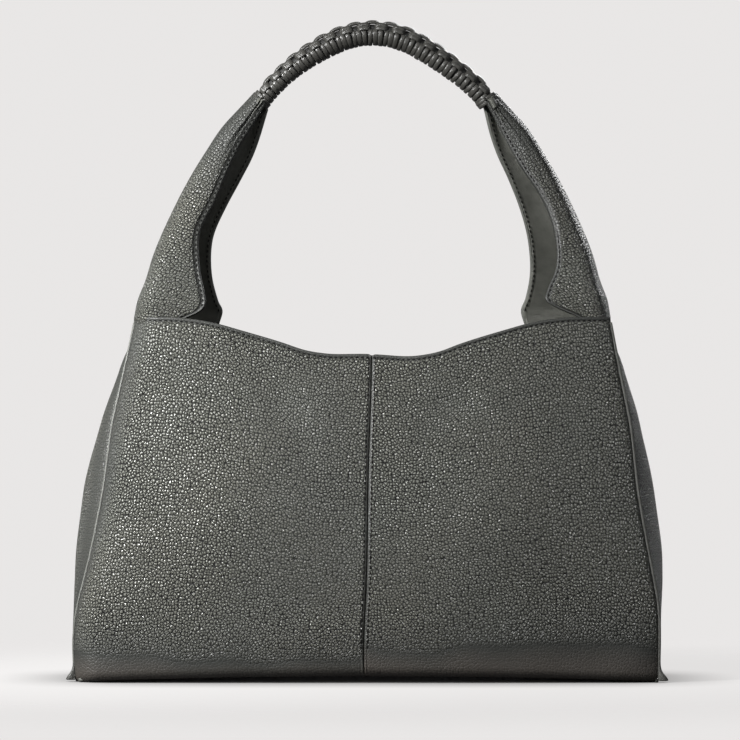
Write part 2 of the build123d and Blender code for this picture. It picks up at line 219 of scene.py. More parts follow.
def make_object(name, verts, faces, materials, uvs, face_materials=None):
    mesh = bpy.data.meshes.new(name)
    mesh.from_pydata([tuple(v) for v in verts], [], [tuple(f) for f in faces])
    for material in materials:
        mesh.materials.append(material)
    if face_materials is not None:
        mesh.polygons.foreach_set("material_index", np.array(face_materials, np.int32))
    mesh.polygons.foreach_set("use_smooth", np.full(len(mesh.polygons), True))
    layer = mesh.uv_layers.new(name="grain")
    loops = np.zeros(len(mesh.loops), np.int32)
    mesh.loops.foreach_get("vertex_index", loops)
    layer.data.foreach_set("uv", np.asarray(uvs, float)[loops].ravel())
    mesh.validate()
    mesh.update()
    obj = bpy.data.objects.new(name, mesh)
    bpy.context.scene.collection.objects.link(obj)
    return obj


def grid_normals(grid):
    """Unit normals of a grid of points."""
    across, along = np.gradient(grid, axis=1), np.gradient(grid, axis=0)
    normal = np.cross(across, along)
    size = np.linalg.norm(normal, axis=2, keepdims=True)
    return normal / np.maximum(size, 1e-12)


def sheet_object(name, grid, thickness, materials, keep=None, flip=False, flat_and_shade=None):
    """A sheet of leather or cloth: a grid of outer points, an inner face and a rim.

    keep masks the grid's cells. materials are the outer, inner and rim ones. The last argument is
    how flat the leather's grain lies at each point and how it is painted: 0 raised, 1 flat and
    darker, partly as painted shade, 2 flat, browner and darker as painted shade at the foot.
    """
    rows, cols = grid.shape[:2]
    normal = grid_normals(grid) * (-1 if flip else 1)
    inner = grid - normal * thickness * MM
    verts = np.concatenate([grid.reshape(-1, 3), inner.reshape(-1, 3)])
    lengths = np.linalg.norm(np.diff(grid, axis=1), axis=2)
    u = np.concatenate([np.zeros((rows, 1)), np.cumsum(lengths, axis=1)], axis=1)
    u -= u[:, cols // 2][:, None]
    heights = np.linalg.norm(np.diff(grid, axis=0), axis=2).mean(axis=1)
    v = np.concatenate([[0], np.cumsum(heights)])[:, None] + np.zeros((1, cols))
    uv = np.stack([u, v], axis=2).reshape(-1, 2)
    uvs = np.concatenate([uv, uv])
    keep = np.ones((rows - 1, cols - 1), bool) if keep is None else keep
    count, faces, kinds, edges = rows * cols, [], [], {}
    for i, j in np.argwhere(keep).tolist():
        a, b = i * cols + j, (i + 1) * cols + j
        quad = (b, b + 1, a + 1, a) if flip else (a, a + 1, b + 1, b)
        faces += [quad, tuple(k + count for k in reversed(quad))]
        kinds += [0, 1]
        edges.update(dict.fromkeys(zip(quad, quad[1:] + quad[:1])))
    for a, b in edges:
        if (b, a) not in edges:
            faces.append((b, a, a + count, b + count))
            kinds.append(2)
    used = np.zeros(len(verts), bool)
    for face in faces:
        used[list(face)] = True
    index = np.cumsum(used) - 1
    faces = [tuple(index[list(face)]) for face in faces]
    obj = make_object(name, verts[used], faces, materials, uvs[used], kinds)
    if flat_and_shade is not None:
        layer = obj.data.attributes.new("flat_and_shade", "FLOAT", "POINT")
        layer.data.foreach_set("value", np.tile(flat_and_shade.ravel(), 2)[used].astype(np.float32))
    return obj


def tube_object(name, runs, materials):
    """Closed tubes in one mesh. Each run is (centres, sideways, outward, section).

    sideways and outward are unit vectors at each centre, scaled by the section's two
    coordinates, which may differ along the run.
    """
    verts, faces, uvs = [], [], []
    for centres, sideways, outward, section in runs:
        count, ring = len(centres), section.shape[-2]
        shape = section if section.ndim == 3 else np.repeat(section[None], count, axis=0)
        points = (centres[:, None] + sideways[:, None] * shape[:, :, :1]
                  + outward[:, None] * shape[:, :, 1:])
        base = len(verts)
        verts.extend(points.reshape(-1, 3))
        along = lengths_along(centres)
        around = np.linspace(0, 1, ring, endpoint=False) * 0.02
        uvs.extend(np.stack(np.meshgrid(around, along), axis=2).reshape(-1, 2))
        for i in range(count - 1):
            for j in range(ring):
                k = (j + 1) % ring
                faces.append((base + i * ring + j, base + i * ring + k,
                              base + (i + 1) * ring + k, base + (i + 1) * ring + j))
        faces.append(tuple(base + j for j in reversed(range(ring))))
        faces.append(tuple(base + (count - 1) * ring + j for j in range(ring)))
    return make_object(name, verts, faces, materials, uvs)


def oval(width, height, count=10, square=1.0):
    """A closed oval section; square under 1 fills its corners."""
    angle = np.linspace(0, 2 * math.pi, count, endpoint=False)
    x, y = np.cos(angle), np.sin(angle)
    return np.stack([np.sign(x) * np.abs(x) ** square * width / 2,
                     np.sign(y) * np.abs(y) ** square * height / 2], axis=1)


def stitch_runs(path, out, pitch=STITCH_PITCH * MM, share=0.66, width=1.15 * MM):
    """Runs of thread for tube_object: short stitches lying along a path on a surface."""
    runs, lengths, nudge = [], lengths_along(path), 0.1 * MM
    count = int(lengths[-1] / pitch)
    at = (np.arange(count) + 0.5) * lengths[-1] / count
    points, normals = between(at, lengths, path), unit(between(at, lengths, out))
    directions = unit(between(at + nudge, lengths, path) - between(at - nudge, lengths, path))
    reach = np.array([-0.5, -0.42, -0.25, 0, 0.25, 0.42, 0.5]) * pitch * share
    swell = np.array([0.35, 0.75, 0.95, 1, 0.95, 0.75, 0.35])
    lift = np.array([-0.5, -0.1, 0.12, 0.18, 0.12, -0.1, -0.5]) * width
    section = oval(width, width * 0.8, 6)
    for p, d, n in zip(points, directions, normals):
        sideways = np.cross(d, n)
        centres = p + reach[:, None] * d + lift[:, None] * n
        runs.append((centres, np.repeat(sideways[None], 7, axis=0), np.repeat(n[None], 7, axis=0),
                     section[None] * swell[:, None, None]))
    return runs


# ---- materials ----

def add_node(tree, kind, inputs=(), **settings):
    """A shader node with its settings, and each of its given inputs linked or set."""
    made = tree.nodes.new("ShaderNode" + kind)
    for key, value in settings.items():
        setattr(made, key, value)
    for key, value in dict(inputs).items():
        if hasattr(value, "is_output"):
            tree.links.new(value, made.inputs[key])
        else:
            made.inputs[key].default_value = value
    return made


class Recipe:
    """A material's nodes, added and joined by short calls."""

    def __init__(self, name, roughness=0.5, specular=0.5, metallic=0.0):
        self.material = bpy.data.materials.new(name)
        self.material.use_nodes = True
        self.tree = self.material.node_tree
        self.shader = self.tree.nodes["Principled BSDF"]
        self.shader.inputs["Roughness"].default_value = roughness
        self.shader.inputs["Specular IOR Level"].default_value = specular
        self.shader.inputs["Metallic"].default_value = metallic

    def node(self, kind, inputs=(), **settings):
        return add_node(self.tree, kind, inputs, **settings)

    def link(self, output, socket):
        self.tree.links.new(output, self.shader.inputs[socket])

    def in_object(self):
        """Where a point lies in its piece."""
        return self.node("TexCoord").outputs["Object"]

    def on_sheet(self):
        """Where a point lies on its hide or lace, laid out flat."""
        return self.node("UVMap", uv_map="grain").outputs["UV"]

    def math(self, operation, a, b=0.0):
        return self.node("Math", {0: a, 1: b}, operation=operation).outputs[0]

    def remap(self, value, low, high, to_low, to_high):
        return self.node("MapRange", {"Value": value, "From Min": low, "From Max": high,
                                      "To Min": to_low, "To Max": to_high}).outputs["Result"]

    def ramp(self, value, stops):
        made = self.node("ValToRGB", {"Fac": value})
        elements = made.color_ramp.elements
        while len(elements) < len(stops):
            elements.new(0.5)
        for element, (place, colour) in zip(elements, stops):
            element.position, element.color = place, (*colour, 1)
        return made.outputs["Color"]

    def mix(self, factor, a, b, blend_type="MIX"):
        colours = {key: value if hasattr(value, "is_output") else (*value, 1)
                   for key, value in ((6, a), (7, b))}
        made = self.node("Mix", {"Factor": factor, **colours}, data_type="RGBA", blend_type=blend_type)
        return made.outputs[2]

    def bump(self, height, distance, strength=1.0, under=None):
        inputs = {"Height": height, "Distance": distance, "Strength": strength}
        if under is not None:
            inputs["Normal"] = under
        return self.node("Bump", inputs).outputs["Normal"]

    def cells(self, inputs, feature):
        return self.node("TexVoronoi", inputs, feature=feature,
                         voronoi_dimensions="2D").outputs["Distance"]

    def noise(self, vector, scale, detail=2.0, roughness=0.5):
        return self.node("TexNoise", {"Vector": vector, "Scale": scale, "Detail": detail,
                                      "Roughness": roughness}).outputs["Fac"]


# Colours of the hide: its pebbles; where it is pressed flat, darker, which on turned side
# edges, beside the left halves' middle seam and on the left gusset is painted shade; and the
# foot, browner and darker as painted shade where the panels turn under
HIDE = (0.054, 0.056, 0.049)
FLAT_AND_SHADED_HIDE = (0.014, 0.0152, 0.0136)
# The foot's colour is painted shade, browner and darker where the panels turn under
FOOT_SHADE_HIDE = (0.041, 0.036, 0.031)
# The creases are painted dark as painted shade and the pebbles' tops painted pale as painted highlights
CREASE_SHADE_SHARE, SLOPE_SHARE, TOP_HIGHLIGHT_SHARE = 0.02, 0.31, 1.95   # of the hide's colour across a pebble


def shade(colour, share):
    """A colour made darker or paler."""
    return tuple(c * share for c in colour)


def pebbled_leather(pebble=0.0024, depth=0.0026):
    """Tumbled hide: rounded pebbles between fine creases, glossier on their tops, with painted shade in
    the creases and painted highlights on the tops.
    """
    r = Recipe("pebbled_leather")
    where = r.on_sheet()
    push = r.node("TexNoise", {"Vector": where, "Scale": 170.0, "Detail": 1.0})
    moved = r.node("MixRGB", {0: 0.0011, 1: where, 2: push.outputs["Color"]},
                   blend_type="ADD").outputs[0]
    cells = {"Vector": moved, "Scale": 1 / pebble, "Randomness": 0.92}
    edge = r.cells(cells, "DISTANCE_TO_EDGE")
    body = r.cells(cells, "F1")
    small = r.cells({"Vector": moved, "Scale": 2.3 / pebble}, "DISTANCE_TO_EDGE")
    dome = r.math("SUBTRACT", 1.0, r.math("POWER", body, 2.0))
    crease = r.remap(edge, 0.0, 0.22, 0.0, 1.0)
    fine_crease = r.remap(small, 0.0, 0.12, 0.0, 1.0)
    height = r.math("ADD", r.math("MULTIPLY", dome, 0.6), r.math("MULTIPLY", crease, 0.4))
    height = r.math("ADD", height, r.math("MULTIPLY", fine_crease, 0.06))
    patch = r.remap(r.noise(where, 13.0, 3.0), 0.38, 0.62, 0.6, 1.0)
    flat_and_shade = r.node("Attribute", attribute_name="flat_and_shade").outputs["Fac"]
    raised = r.remap(flat_and_shade, 0.0, 1.0, 1.0, 0.12)
    relief = r.math("MULTIPLY", r.math("MULTIPLY", height, patch), raised)
    pores = r.noise(where, 2600.0, 2.0)
    coarse = r.bump(relief, depth)
    r.link(r.bump(pores, 0.00005, 1.0, coarse), "Normal")
    # Painted shade in the creases and painted highlights on the pebbles' tops
    shares = (0.30, CREASE_SHADE_SHARE), (0.62, SLOPE_SHARE), (0.98, TOP_HIGHLIGHT_SHARE)
    tone = r.ramp(height, [(place, shade(HIDE, share)) for place, share in shares])
    tone = r.mix(r.remap(patch, 0.6, 1.0, 0.3, 0.0), tone, shade(HIDE, 0.72))
    # Where the grain lies flat the hide is painted darker; on turned side edges, beside the left middle
    # seam and on the left gusset this is painted shade
    tone = r.mix(r.remap(flat_and_shade, 0.0, 1.0, 0.0, 0.9), tone, FLAT_AND_SHADED_HIDE)
    # From 1 to 2 the foot turns browner and darker, as painted shade where the panel turns under
    tone = r.mix(r.remap(flat_and_shade, 1.0, 2.0, 0.0, 0.9), tone, FOOT_SHADE_HIDE)
    warm = r.remap(r.noise(where, 9.0, 3.0), 0.3, 0.7, 0.0, 0.35)
    r.link(r.mix(warm, tone, (1.12, 1.0, 0.88), "MULTIPLY"), "Base Color")
    rough = r.math("ADD", r.remap(height, 0.3, 1.0, 0.60, 0.28), r.remap(pores, 0.3, 0.7, -0.03, 0.03))
    calm = r.math("MULTIPLY", r.math("MINIMUM", flat_and_shade, 1.0), 0.18)
    r.link(r.math("ADD", rough, calm), "Roughness")
    return r.material


def smooth_leather(name, colour, roughness=0.5, grain=0.00009, unwrapped=True):
    """Corrected hide with fine pores and a few soft wrinkles."""
    r = Recipe(name)
    where = r.on_sheet() if unwrapped else r.in_object()
    pores = r.cells({"Vector": where, "Scale": 1100.0}, "DISTANCE_TO_EDGE")
    wrinkle = r.noise(where, 120.0, 4.0, 0.6)
    fine = r.bump(r.remap(pores, 0.0, 0.2, 0.0, 1.0), grain)
    r.link(r.bump(wrinkle, grain * 4, 0.7, fine), "Normal")
    tone = r.ramp(wrinkle, [(0.25, shade(colour, 0.72)), (0.75, shade(colour, 1.18))])
    r.link(tone, "Base Color")
    r.link(r.remap(wrinkle, 0.3, 0.7, roughness - 0.08, roughness + 0.1), "Roughness")
    return r.material


def edge_paint_and_highlight(dark, pale):
    """The thick paint that seals a cut edge, with a faint ripple, paler than the hide as a painted
    highlight along the edge.
    """
    r = Recipe("edge_paint_and_highlight", roughness=0.42)
    where = r.in_object()
    ripple = r.noise(where, 700.0, 2.0)
    r.link(r.bump(ripple, 0.00008), "Normal")
    r.link(r.ramp(ripple, [(0.3, dark), (0.7, pale)]), "Base Color")
    return r.material


def thread():
    """Waxed thread, its plies showing as fine slanting ribs."""
    r = Recipe("thread", roughness=0.7, specular=0.12)
    where = r.in_object()
    plies = r.node("TexWave", {"Vector": where, "Scale": 900.0, "Distortion": 1.0},
                   bands_direction="DIAGONAL").outputs["Fac"]
    r.link(r.bump(plies, 0.0001), "Normal")
    r.link(r.ramp(plies, [(0.2, (0.004, 0.004, 0.004)), (0.8, (0.011, 0.011, 0.010))]), "Base Color")
    return r.material


def cloth(name, colour, pitch=0.0006):
    """A plain weave: warp and weft ribs crossing."""
    r = Recipe(name, roughness=0.9, specular=0.2)
    r.shader.inputs["Sheen Weight"].default_value = 0.25
    where = r.in_object()
    ribs = [r.node("TexWave", {"Vector": where, "Scale": 0.31 / pitch, "Distortion": 0.4},
                   bands_direction=way).outputs["Fac"] for way in ("X", "Z")]
    weave = r.math("MULTIPLY", *ribs)
    slub = r.noise(where, 160.0, 3.0)
    r.link(r.bump(weave, 0.00012), "Normal")
    tone = r.ramp(r.math("ADD", r.math("MULTIPLY", weave, 0.6), r.math("MULTIPLY", slub, 0.4)),
                  [(0.15, shade(colour, 0.6)), (0.8, shade(colour, 1.15))])
    r.link(tone, "Base Color")
    return r.material


def antique_metal():
    """Aged brass: brushed, darker in patches."""
    r = Recipe("antique_metal", roughness=0.32, metallic=1.0)
    where = r.in_object()
    patch = r.noise(where, 400.0, 4.0)
    scratch = r.noise(r.node("Mapping", {"Vector": where, "Scale": (30, 1, 1)}).outputs[0], 300.0, 2.0)
    r.link(r.ramp(patch, [(0.3, (0.20, 0.16, 0.10)), (0.7, (0.55, 0.46, 0.30))]), "Base Color")
    r.link(r.remap(patch, 0.3, 0.7, 0.45, 0.25), "Roughness")
    r.link(r.bump(scratch, 0.00003), "Normal")
    return r.material


def board():
    """Grey-brown bag board with fibres."""
    r = Recipe("board", roughness=0.9, specular=0.2)
    where = r.in_object()
    fibre = r.noise(where, 500.0, 5.0, 0.7)
    r.link(r.bump(fibre, 0.0001), "Normal")
    r.link(r.ramp(fibre, [(0.3, (0.20, 0.17, 0.13)), (0.7, (0.38, 0.33, 0.26))]), "Base Color")
    return r.material


PEBBLED = pebbled_leather()
LINING_HIDE = smooth_leather("smooth_leather", (0.072, 0.073, 0.063), 0.46)
LACE = smooth_leather("lace_leather", (0.040, 0.039, 0.035), 0.36, 0.00004)
# The roll under the lace is painted near black, as painted shade in the holes between the lace's
# strands
SHADED_ROLL = smooth_leather("shaded_roll_leather", (0.008, 0.008, 0.007), 0.6)
POCKET_HIDE = smooth_leather("pocket_leather", (0.072, 0.073, 0.063), 0.46, unwrapped=False)
# Edge paint on every cut edge, made paler as a painted highlight where the edges catch the light
EDGE_PAINT_AND_HIGHLIGHT = edge_paint_and_highlight((0.065, 0.067, 0.06), (0.10, 0.102, 0.092))
SEAM_HIDE = smooth_leather("seam_leather", (0.050, 0.050, 0.045), 0.5)
THREAD = thread()
CLOTH = cloth("lining_cloth", (0.10, 0.09, 0.075))
TAPE = cloth("zip_tape", (0.03, 0.03, 0.027), 0.0004)
METAL, BOARD = antique_metal(), board()
HIDE_LAYERS = [PEBBLED, LINING_HIDE, EDGE_PAINT_AND_HIGHLIGHT]


# ---- the sewn shell ----

def ripples(x, z, seed):
    """Small soft unevenness of a hide, none of it near the middle seam."""
    uneven = 1.4 + 0.9 * wander(x, z, 62, seed) + 0.4 * wander(x, z, 27, seed + 1)
    return uneven * step(5, 40, np.abs(x))


def front_swell(x, z):
    """How far the front stands proud of its plain bow: two soft halves and a few folds."""
    swell = 8.5 * bump(x, -114, 64) * bump(z, 160, 95)
    swell += 8.0 * bump(x, 106, 58) * bump(z, 145, 90)
    left_fold = (x + 100) * 0.886 + (z - 275) * 0.464
    swell -= 2.6 * bump(left_fold, 0, 15) * bump(z, 220, 62) * step(10, -30, x)
    right_fold = (x - 92) * 0.90 - (z - 275) * 0.43
    swell -= 1.8 * bump(right_fold, 0, 14) * bump(z, 225, 50) * step(10, 40, x)
    return np.maximum(swell, 0) + ripples(x, z, 3)


def back_swell(x, z):
    """The back's softer, more even swell."""
    swell = 5.0 * bump(x, 104, 66) * bump(z, 150, 90) + 5.5 * bump(x, -99, 68) * bump(z, 155, 95)
    return swell + ripples(x, z, 13)


SWELL = {"front": front_swell, "back": back_swell}


def side_sag(z, side):
    """How much further each gusset hangs out than its plain bow."""
    return 5.5 * bump(z, 188, 62) if side < 0 else 3.2 * bump(z, 200, 55)


def mouth(face, side, x):
    """Height of a panel's upper edge; the front's is a little higher left of the middle."""
    lift = 3.4 * bump(x * side, -14, 44) if face == "front" else 0
    return curve(HEM, x)[..., 0] + lift


def floor_gap(x):
    """Height of a panel's lower edge, arched between the corners."""
    return ARCH * (1 - (np.abs(x) / 232) ** 2.2)


def shell_face(face, x, z, side=1):
    """The plain outer surface of the front or back at places given for the right side."""
    half_width, _, half_depth, rise = columns(SHELL, z)
    x = np.minimum(x, half_width)
    swell = SWELL[face](x * side, z)
    calm = step(half_width, half_width - 40, x)
    return half_depth + bow(half_width, rise, x) + swell * calm - edge_drop(face, side, half_width, x)


def edge_drop(face, side, half_width, x):
    """How far a panel has turned back towards its side seam."""
    turned = np.clip((x - half_width + EDGE_TURN) / EDGE_TURN, 0, 1)
    return EDGE_DROP[face, side] * (1 - np.sqrt(1 - 0.97 * turned ** 2))


def seam_back(face, side):
    """How far behind the panel's flat face its side seam lies."""
    return EDGE_DROP[face, side] * (1 - math.sqrt(0.03))


def seam_relief(x, z):
    """The middle seam's sunk join, its lips and the pull of its stitches."""
    relief = -1.2 * bump(x, 0, 0.5) + 0.16 * bump(x, 1.1, 0.6) - 0.3 * bump(x, SEAM_STITCH, 0.6)
    relief += 0.10 * np.cos(z * 2 * math.pi / STITCH_PITCH) * bump(x, SEAM_STITCH, 1.5)
    return relief + 0.45 * wander(z, x * 0.3, 11, 21) * np.exp(-x / 14)


def hem_relief(x, below):
    """The hem's rolled edge and the pull of its stitches."""
    relief = -0.5 * bump(below, 0, 0.9) + 0.35 * bump(below, 1.3, 0.8)
    relief -= 0.4 * bump(below, HEM_STITCH, 0.6)
    relief += 0.10 * np.cos(x * 2 * math.pi / STITCH_PITCH) * bump(below, HEM_STITCH, 1.4)
    return relief + 0.3 * wander(x, below * 0.3, 13, 31) * np.exp(-below / 10)


def panel_grid(face, side):
    """The outer surface of one half of the front or back panel."""
    near = spaced([(0, 0), (7, 0.6), (10, 1.5)])
    far = spaced([(0, 0), (3, 0.5), (EDGE_TURN, 1.2)])[::-1]
    middle = np.linspace(0, 1, 62)[1:-1]
    under = spaced([(-14, 0), (0, 4), (FOLD * math.pi / 2, 1.6)])
    upper = spaced([(0, 0), (6, 0.6), (12, 1.5)])[::-1]
    wall = np.linspace(0, 1, 92)[1:-1]
    rows, cols = len(under) + len(wall) + len(upper), len(near) + len(middle) + len(far)
    z = np.zeros((rows, cols))
    for _ in range(3):           # the width depends on the height and the height on the width
        half_width = curve(SHELL, z)[..., 0]
        x = np.concatenate([
            near + 0 * half_width[:, :1],
            10 + middle * (half_width[:, len(near):-len(far)] - 10 - EDGE_TURN),
            half_width[:, -len(far):] - far], axis=1)
        low, top = floor_gap(x), mouth(face, side, x) - 1.3 * bump(x, 0, 1.5)
        angle = np.clip(under / FOLD, 0, math.pi / 2)[:, None]
        z = np.concatenate([
            low[:len(under)] + FOLD * (1 - np.cos(angle)),
            low[len(under):-len(upper)] + FOLD
            + wall[:, None] * (top - low - FOLD - 12)[len(under):-len(upper)],
            top[-len(upper):] - upper[:, None]], axis=0)
    inset = np.zeros_like(z)
    inset[:len(under)] = FOLD * (1 - np.sin(angle)) - np.minimum(under, 0)[:, None]
    below = top - z
    depth = shell_face(face, x, z, side) - inset
    wall_share = np.ones_like(z)
    wall_share[:len(under)] = np.sin(angle)
    depth = depth + (seam_relief(x, z) + hem_relief(x, below)) * wall_share
    # The foot band lies flat and is painted browner and darker as painted shade where the panel turns
    # under
    foot = z + 5 * wander(x, 0.3 * z, 30, 80 + side) + (7 if side < 0 else 0)
    smooth_shaded_foot = step(62, 10, foot) + step(36, 4, foot)
    turned = half_width - x
    # Each half's turned side edge lies flat and is painted darker as painted shade, widest on the
    # front's left half
    smooth_shaded_side = step(4, 0.5, turned)
    if (face, side) == ("front", -1):
        smooth_shaded_side = 0.85 * step(1, 0, turned / (5 + 17 * step(60, 230, z)))
    # A calmer, darker band on the left halves near the middle seam, painted shade for the front's
    # shallow valley
    calm_shaded_middle = 0.25 * bump(x, 40, 45) * step(40, 70, z) * (side < 0)
    flat_and_shade = np.maximum.reduce([
        step(4.4, 3.2, below), step(2.4, 1.5, x), smooth_shaded_foot, smooth_shaded_side, calm_shaded_middle])
    return np.stack([x + side * seam_drift(face, x, z), depth * FACES[face], z], axis=2), flat_and_shade


def seam_drift(face, x, z):
    """The front's middle seam wanders a little to the left on its way down."""
    return -1.7 * bump(x, 0, 70) * step(255, 150, z) * (face == "front")


def oriented(name, grid, thickness, materials, outward, keep=None, flat_and_shade=None):
    """A sheet whose outer face looks along outward."""
    normal = grid_normals(grid)
    flip = float((normal.reshape(-1, 3) @ np.array(outward, float)).sum()) < 0
    return sheet_object(name, grid, thickness, materials, keep, flip, flat_and_shade)


def make_panels():
    """The four half panels with the stitches of their seams and hems."""
    for face, way in FACES.items():
        threads = []
        for side_name, side in SIDES.items():
            grid, flat_and_shade = panel_grid(face, side)
            piece = oriented(f"{face}_{side_name}_leather", placed(grid, side), LEATHER, HIDE_LAYERS,
                             (0, way, 0), flat_and_shade=flat_and_shade)
            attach(piece, "bag")
            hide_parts(f"{face}_panel_{side_name}")
            threads += panel_threads(face, way, side)
        stitches = tube_object(f"{face}_stitches", threads, [THREAD])
        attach(stitches, "bag")


def panel_threads(face, way, side):
    """The seam and hem stitches of one half panel."""
    z = np.linspace(floor_gap(0) + 22, mouth(face, side, np.zeros(1))[0] - 1, 140)
    x = np.full_like(z, SEAM_STITCH)
    y = shell_face(face, x, z, side) + seam_relief(x, z) + 0.1
    seam = placed(np.stack([x + side * seam_drift(face, x, z), y * way, z], axis=1), side)
    x = np.linspace(1.5, 187, 160)
    z = mouth(face, side, x) - HEM_STITCH
    y = shell_face(face, x, z, side) + hem_relief(x, HEM_STITCH) + seam_relief(x, z) + 0.1
    hem = placed(np.stack([x, y * way, z], axis=1), side)
    out = np.tile([[0.0, way, 0.0]], (160, 1))
    return stitch_runs(seam, out[:len(seam)]) + stitch_runs(hem, out[:len(hem)])


def make_facings():
    """The leather bands inside the hem."""
    for face, way in FACES.items():
        x = np.linspace(-187, 187, 151)[None, :] + np.zeros((24, 1))
        below = np.linspace(35, 0.8, 24)[:, None]
        z = np.where(x < 0, mouth(face, -1, np.abs(x)), mouth(face, 1, np.abs(x))) - below
        reach = curve(SHELL, z)[..., 0] - 2.5
        x = np.clip(x, -reach, reach)
        depth = np.where(x < 0, shell_face(face, -x, z, -1), shell_face(face, x, z, 1))
        depth = depth - LEATHER - 0.2 - 1.7 * bump(x, 0, 4)
        grid = placed(np.stack([x, depth * way, z], axis=2))
        band = oriented(f"{face}_facing_band", grid, FACING,
                        [LINING_HIDE, LINING_HIDE, EDGE_PAINT_AND_HIGHLIGHT], (0, way, 0))
        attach(band, "bag")
        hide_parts(f"{face}_facing")


def make_base():
    """The base panel, arched with the lower edges and tucked between them."""
    x = np.linspace(-229, 229, 93)[None, :] + np.zeros((15, 1))
    reach = curve(SHELL, 0 * x)[..., 2] - FOLD + bow(232, 6, np.abs(x)) - 2
    y = np.linspace(-1, 1, 15)[:, None] * reach
    z = floor_gap(x) + 0.6 + 0.8 * bump(np.abs(x), 0, 150)
    grid = placed(np.stack([x, y, z], axis=2))
    base = oriented("base_leather", grid, 2.0, [PEBBLED, LINING_HIDE, EDGE_PAINT_AND_HIGHLIGHT], (0, 0, -1))
    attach(base, "bag")
    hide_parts("base_panel")
    raised = grid[1:-1, 1:-1] + np.array([0, 0, 2.1 * MM])
    stiff = oriented("base_board_sheet", raised, BOARD_SHEET, [BOARD], (0, 0, -1))
    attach(stiff, "bag")
    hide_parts("base_board")


def make_lining():
    """The cloth bag inside, with shallow wrinkles, from the base up to the facings."""
    turn = np.linspace(0, 2 * math.pi, 161)[None, :]
    heights = np.linspace(0, 1, 44)[:, None]
    shrink = np.array([0.02, 0.3, 0.6, 0.85, 0.97])[:, None]
    corner = 0.22
    across = np.sign(np.cos(turn)) * np.abs(np.cos(turn)) ** corner
    along = np.sign(np.sin(turn)) * np.abs(np.sin(turn)) ** corner
    top = curve(HEM, np.abs(across) * 190)[..., 0] - 33
    low = np.maximum(floor_gap(np.abs(across) * 228), 0) + LINING_LIFT
    z = low + heights * (top - low)
    half_width, bulge, half_depth, rise = columns(SHELL, z)
    x = across * (half_width + bulge - LINING_IN_SIDE)
    slack = 1.2 * np.abs(wander(turn * 90, z, 24, 41)) + 0.6 * np.abs(wander(turn * 90, z, 11, 42))
    plain = half_depth + bow(half_width, rise, np.minimum(np.abs(x), half_width))
    depth = plain - LINING_IN_FACE + slack
    turn_at = np.minimum(np.abs(x) + 3, half_width)
    in_fold = np.clip(1 - (z - low + LINING_LIFT) / FOLD, 0, 1)
    depth = depth - FOLD * (1 - np.sqrt(1 - in_fold ** 2))
    for face, way in FACES.items():
        for side in SIDES.values():
            here = (along * way > 0) & (x * side > 0)
            depth = depth - here * edge_drop(face, side, half_width, turn_at)
            seam = half_depth - seam_back(face, side)
            across_seam = np.minimum(np.abs(along) * depth, seam)
            reach = half_width + bow(seam, bulge, across_seam) - LINING_IN_SIDE
            x = np.where(here, np.clip(x, -reach, reach), x)
    zip_near = step(125, 104, np.abs(x)) * step(46, 20, np.abs(z - 190)) * (along > 0)
    depth = depth * (1 - zip_near) + ZIP_WALL * zip_near
    walls = np.stack([x, along * depth, z], axis=2)
    floor = walls[:1] * shrink[:, :, None]
    floor[..., 2] = np.maximum(floor_gap(np.abs(floor[..., 0])), 0) + LINING_LIFT
    grid = placed(np.concatenate([floor, walls], axis=0))
    half_way = 30                # a row of the grid
    forward = -grid_normals(grid)[half_way, :, 1]
    flip = forward[np.argmin(grid[half_way, :, 1])] < 0
    piece = sheet_object("lining_bag", grid, 0.5, [CLOTH, CLOTH, CLOTH], flip=flip)
    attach(piece, "bag")
    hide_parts("lining_front", "lining_back", "lining_left", "lining_right", "lining_base")


# ---- gussets and straps ----

TURN = 12                    # cells across a quarter of the strap's fold
SQUARE = 0.36                # how boxy the fold is where it leaves the bag
HEM_PLACES = spaced([(0, 0), (5.6, 0.7)])    # distances in from a wing's free edge
FLAT = 12                    # cells across the flat of a wing
WING = FLAT + len(HEM_PLACES) - 1            # cells across a wing
SEWN_ROWS = slice(6, -3)     # the strap's rows that carry edge stitches


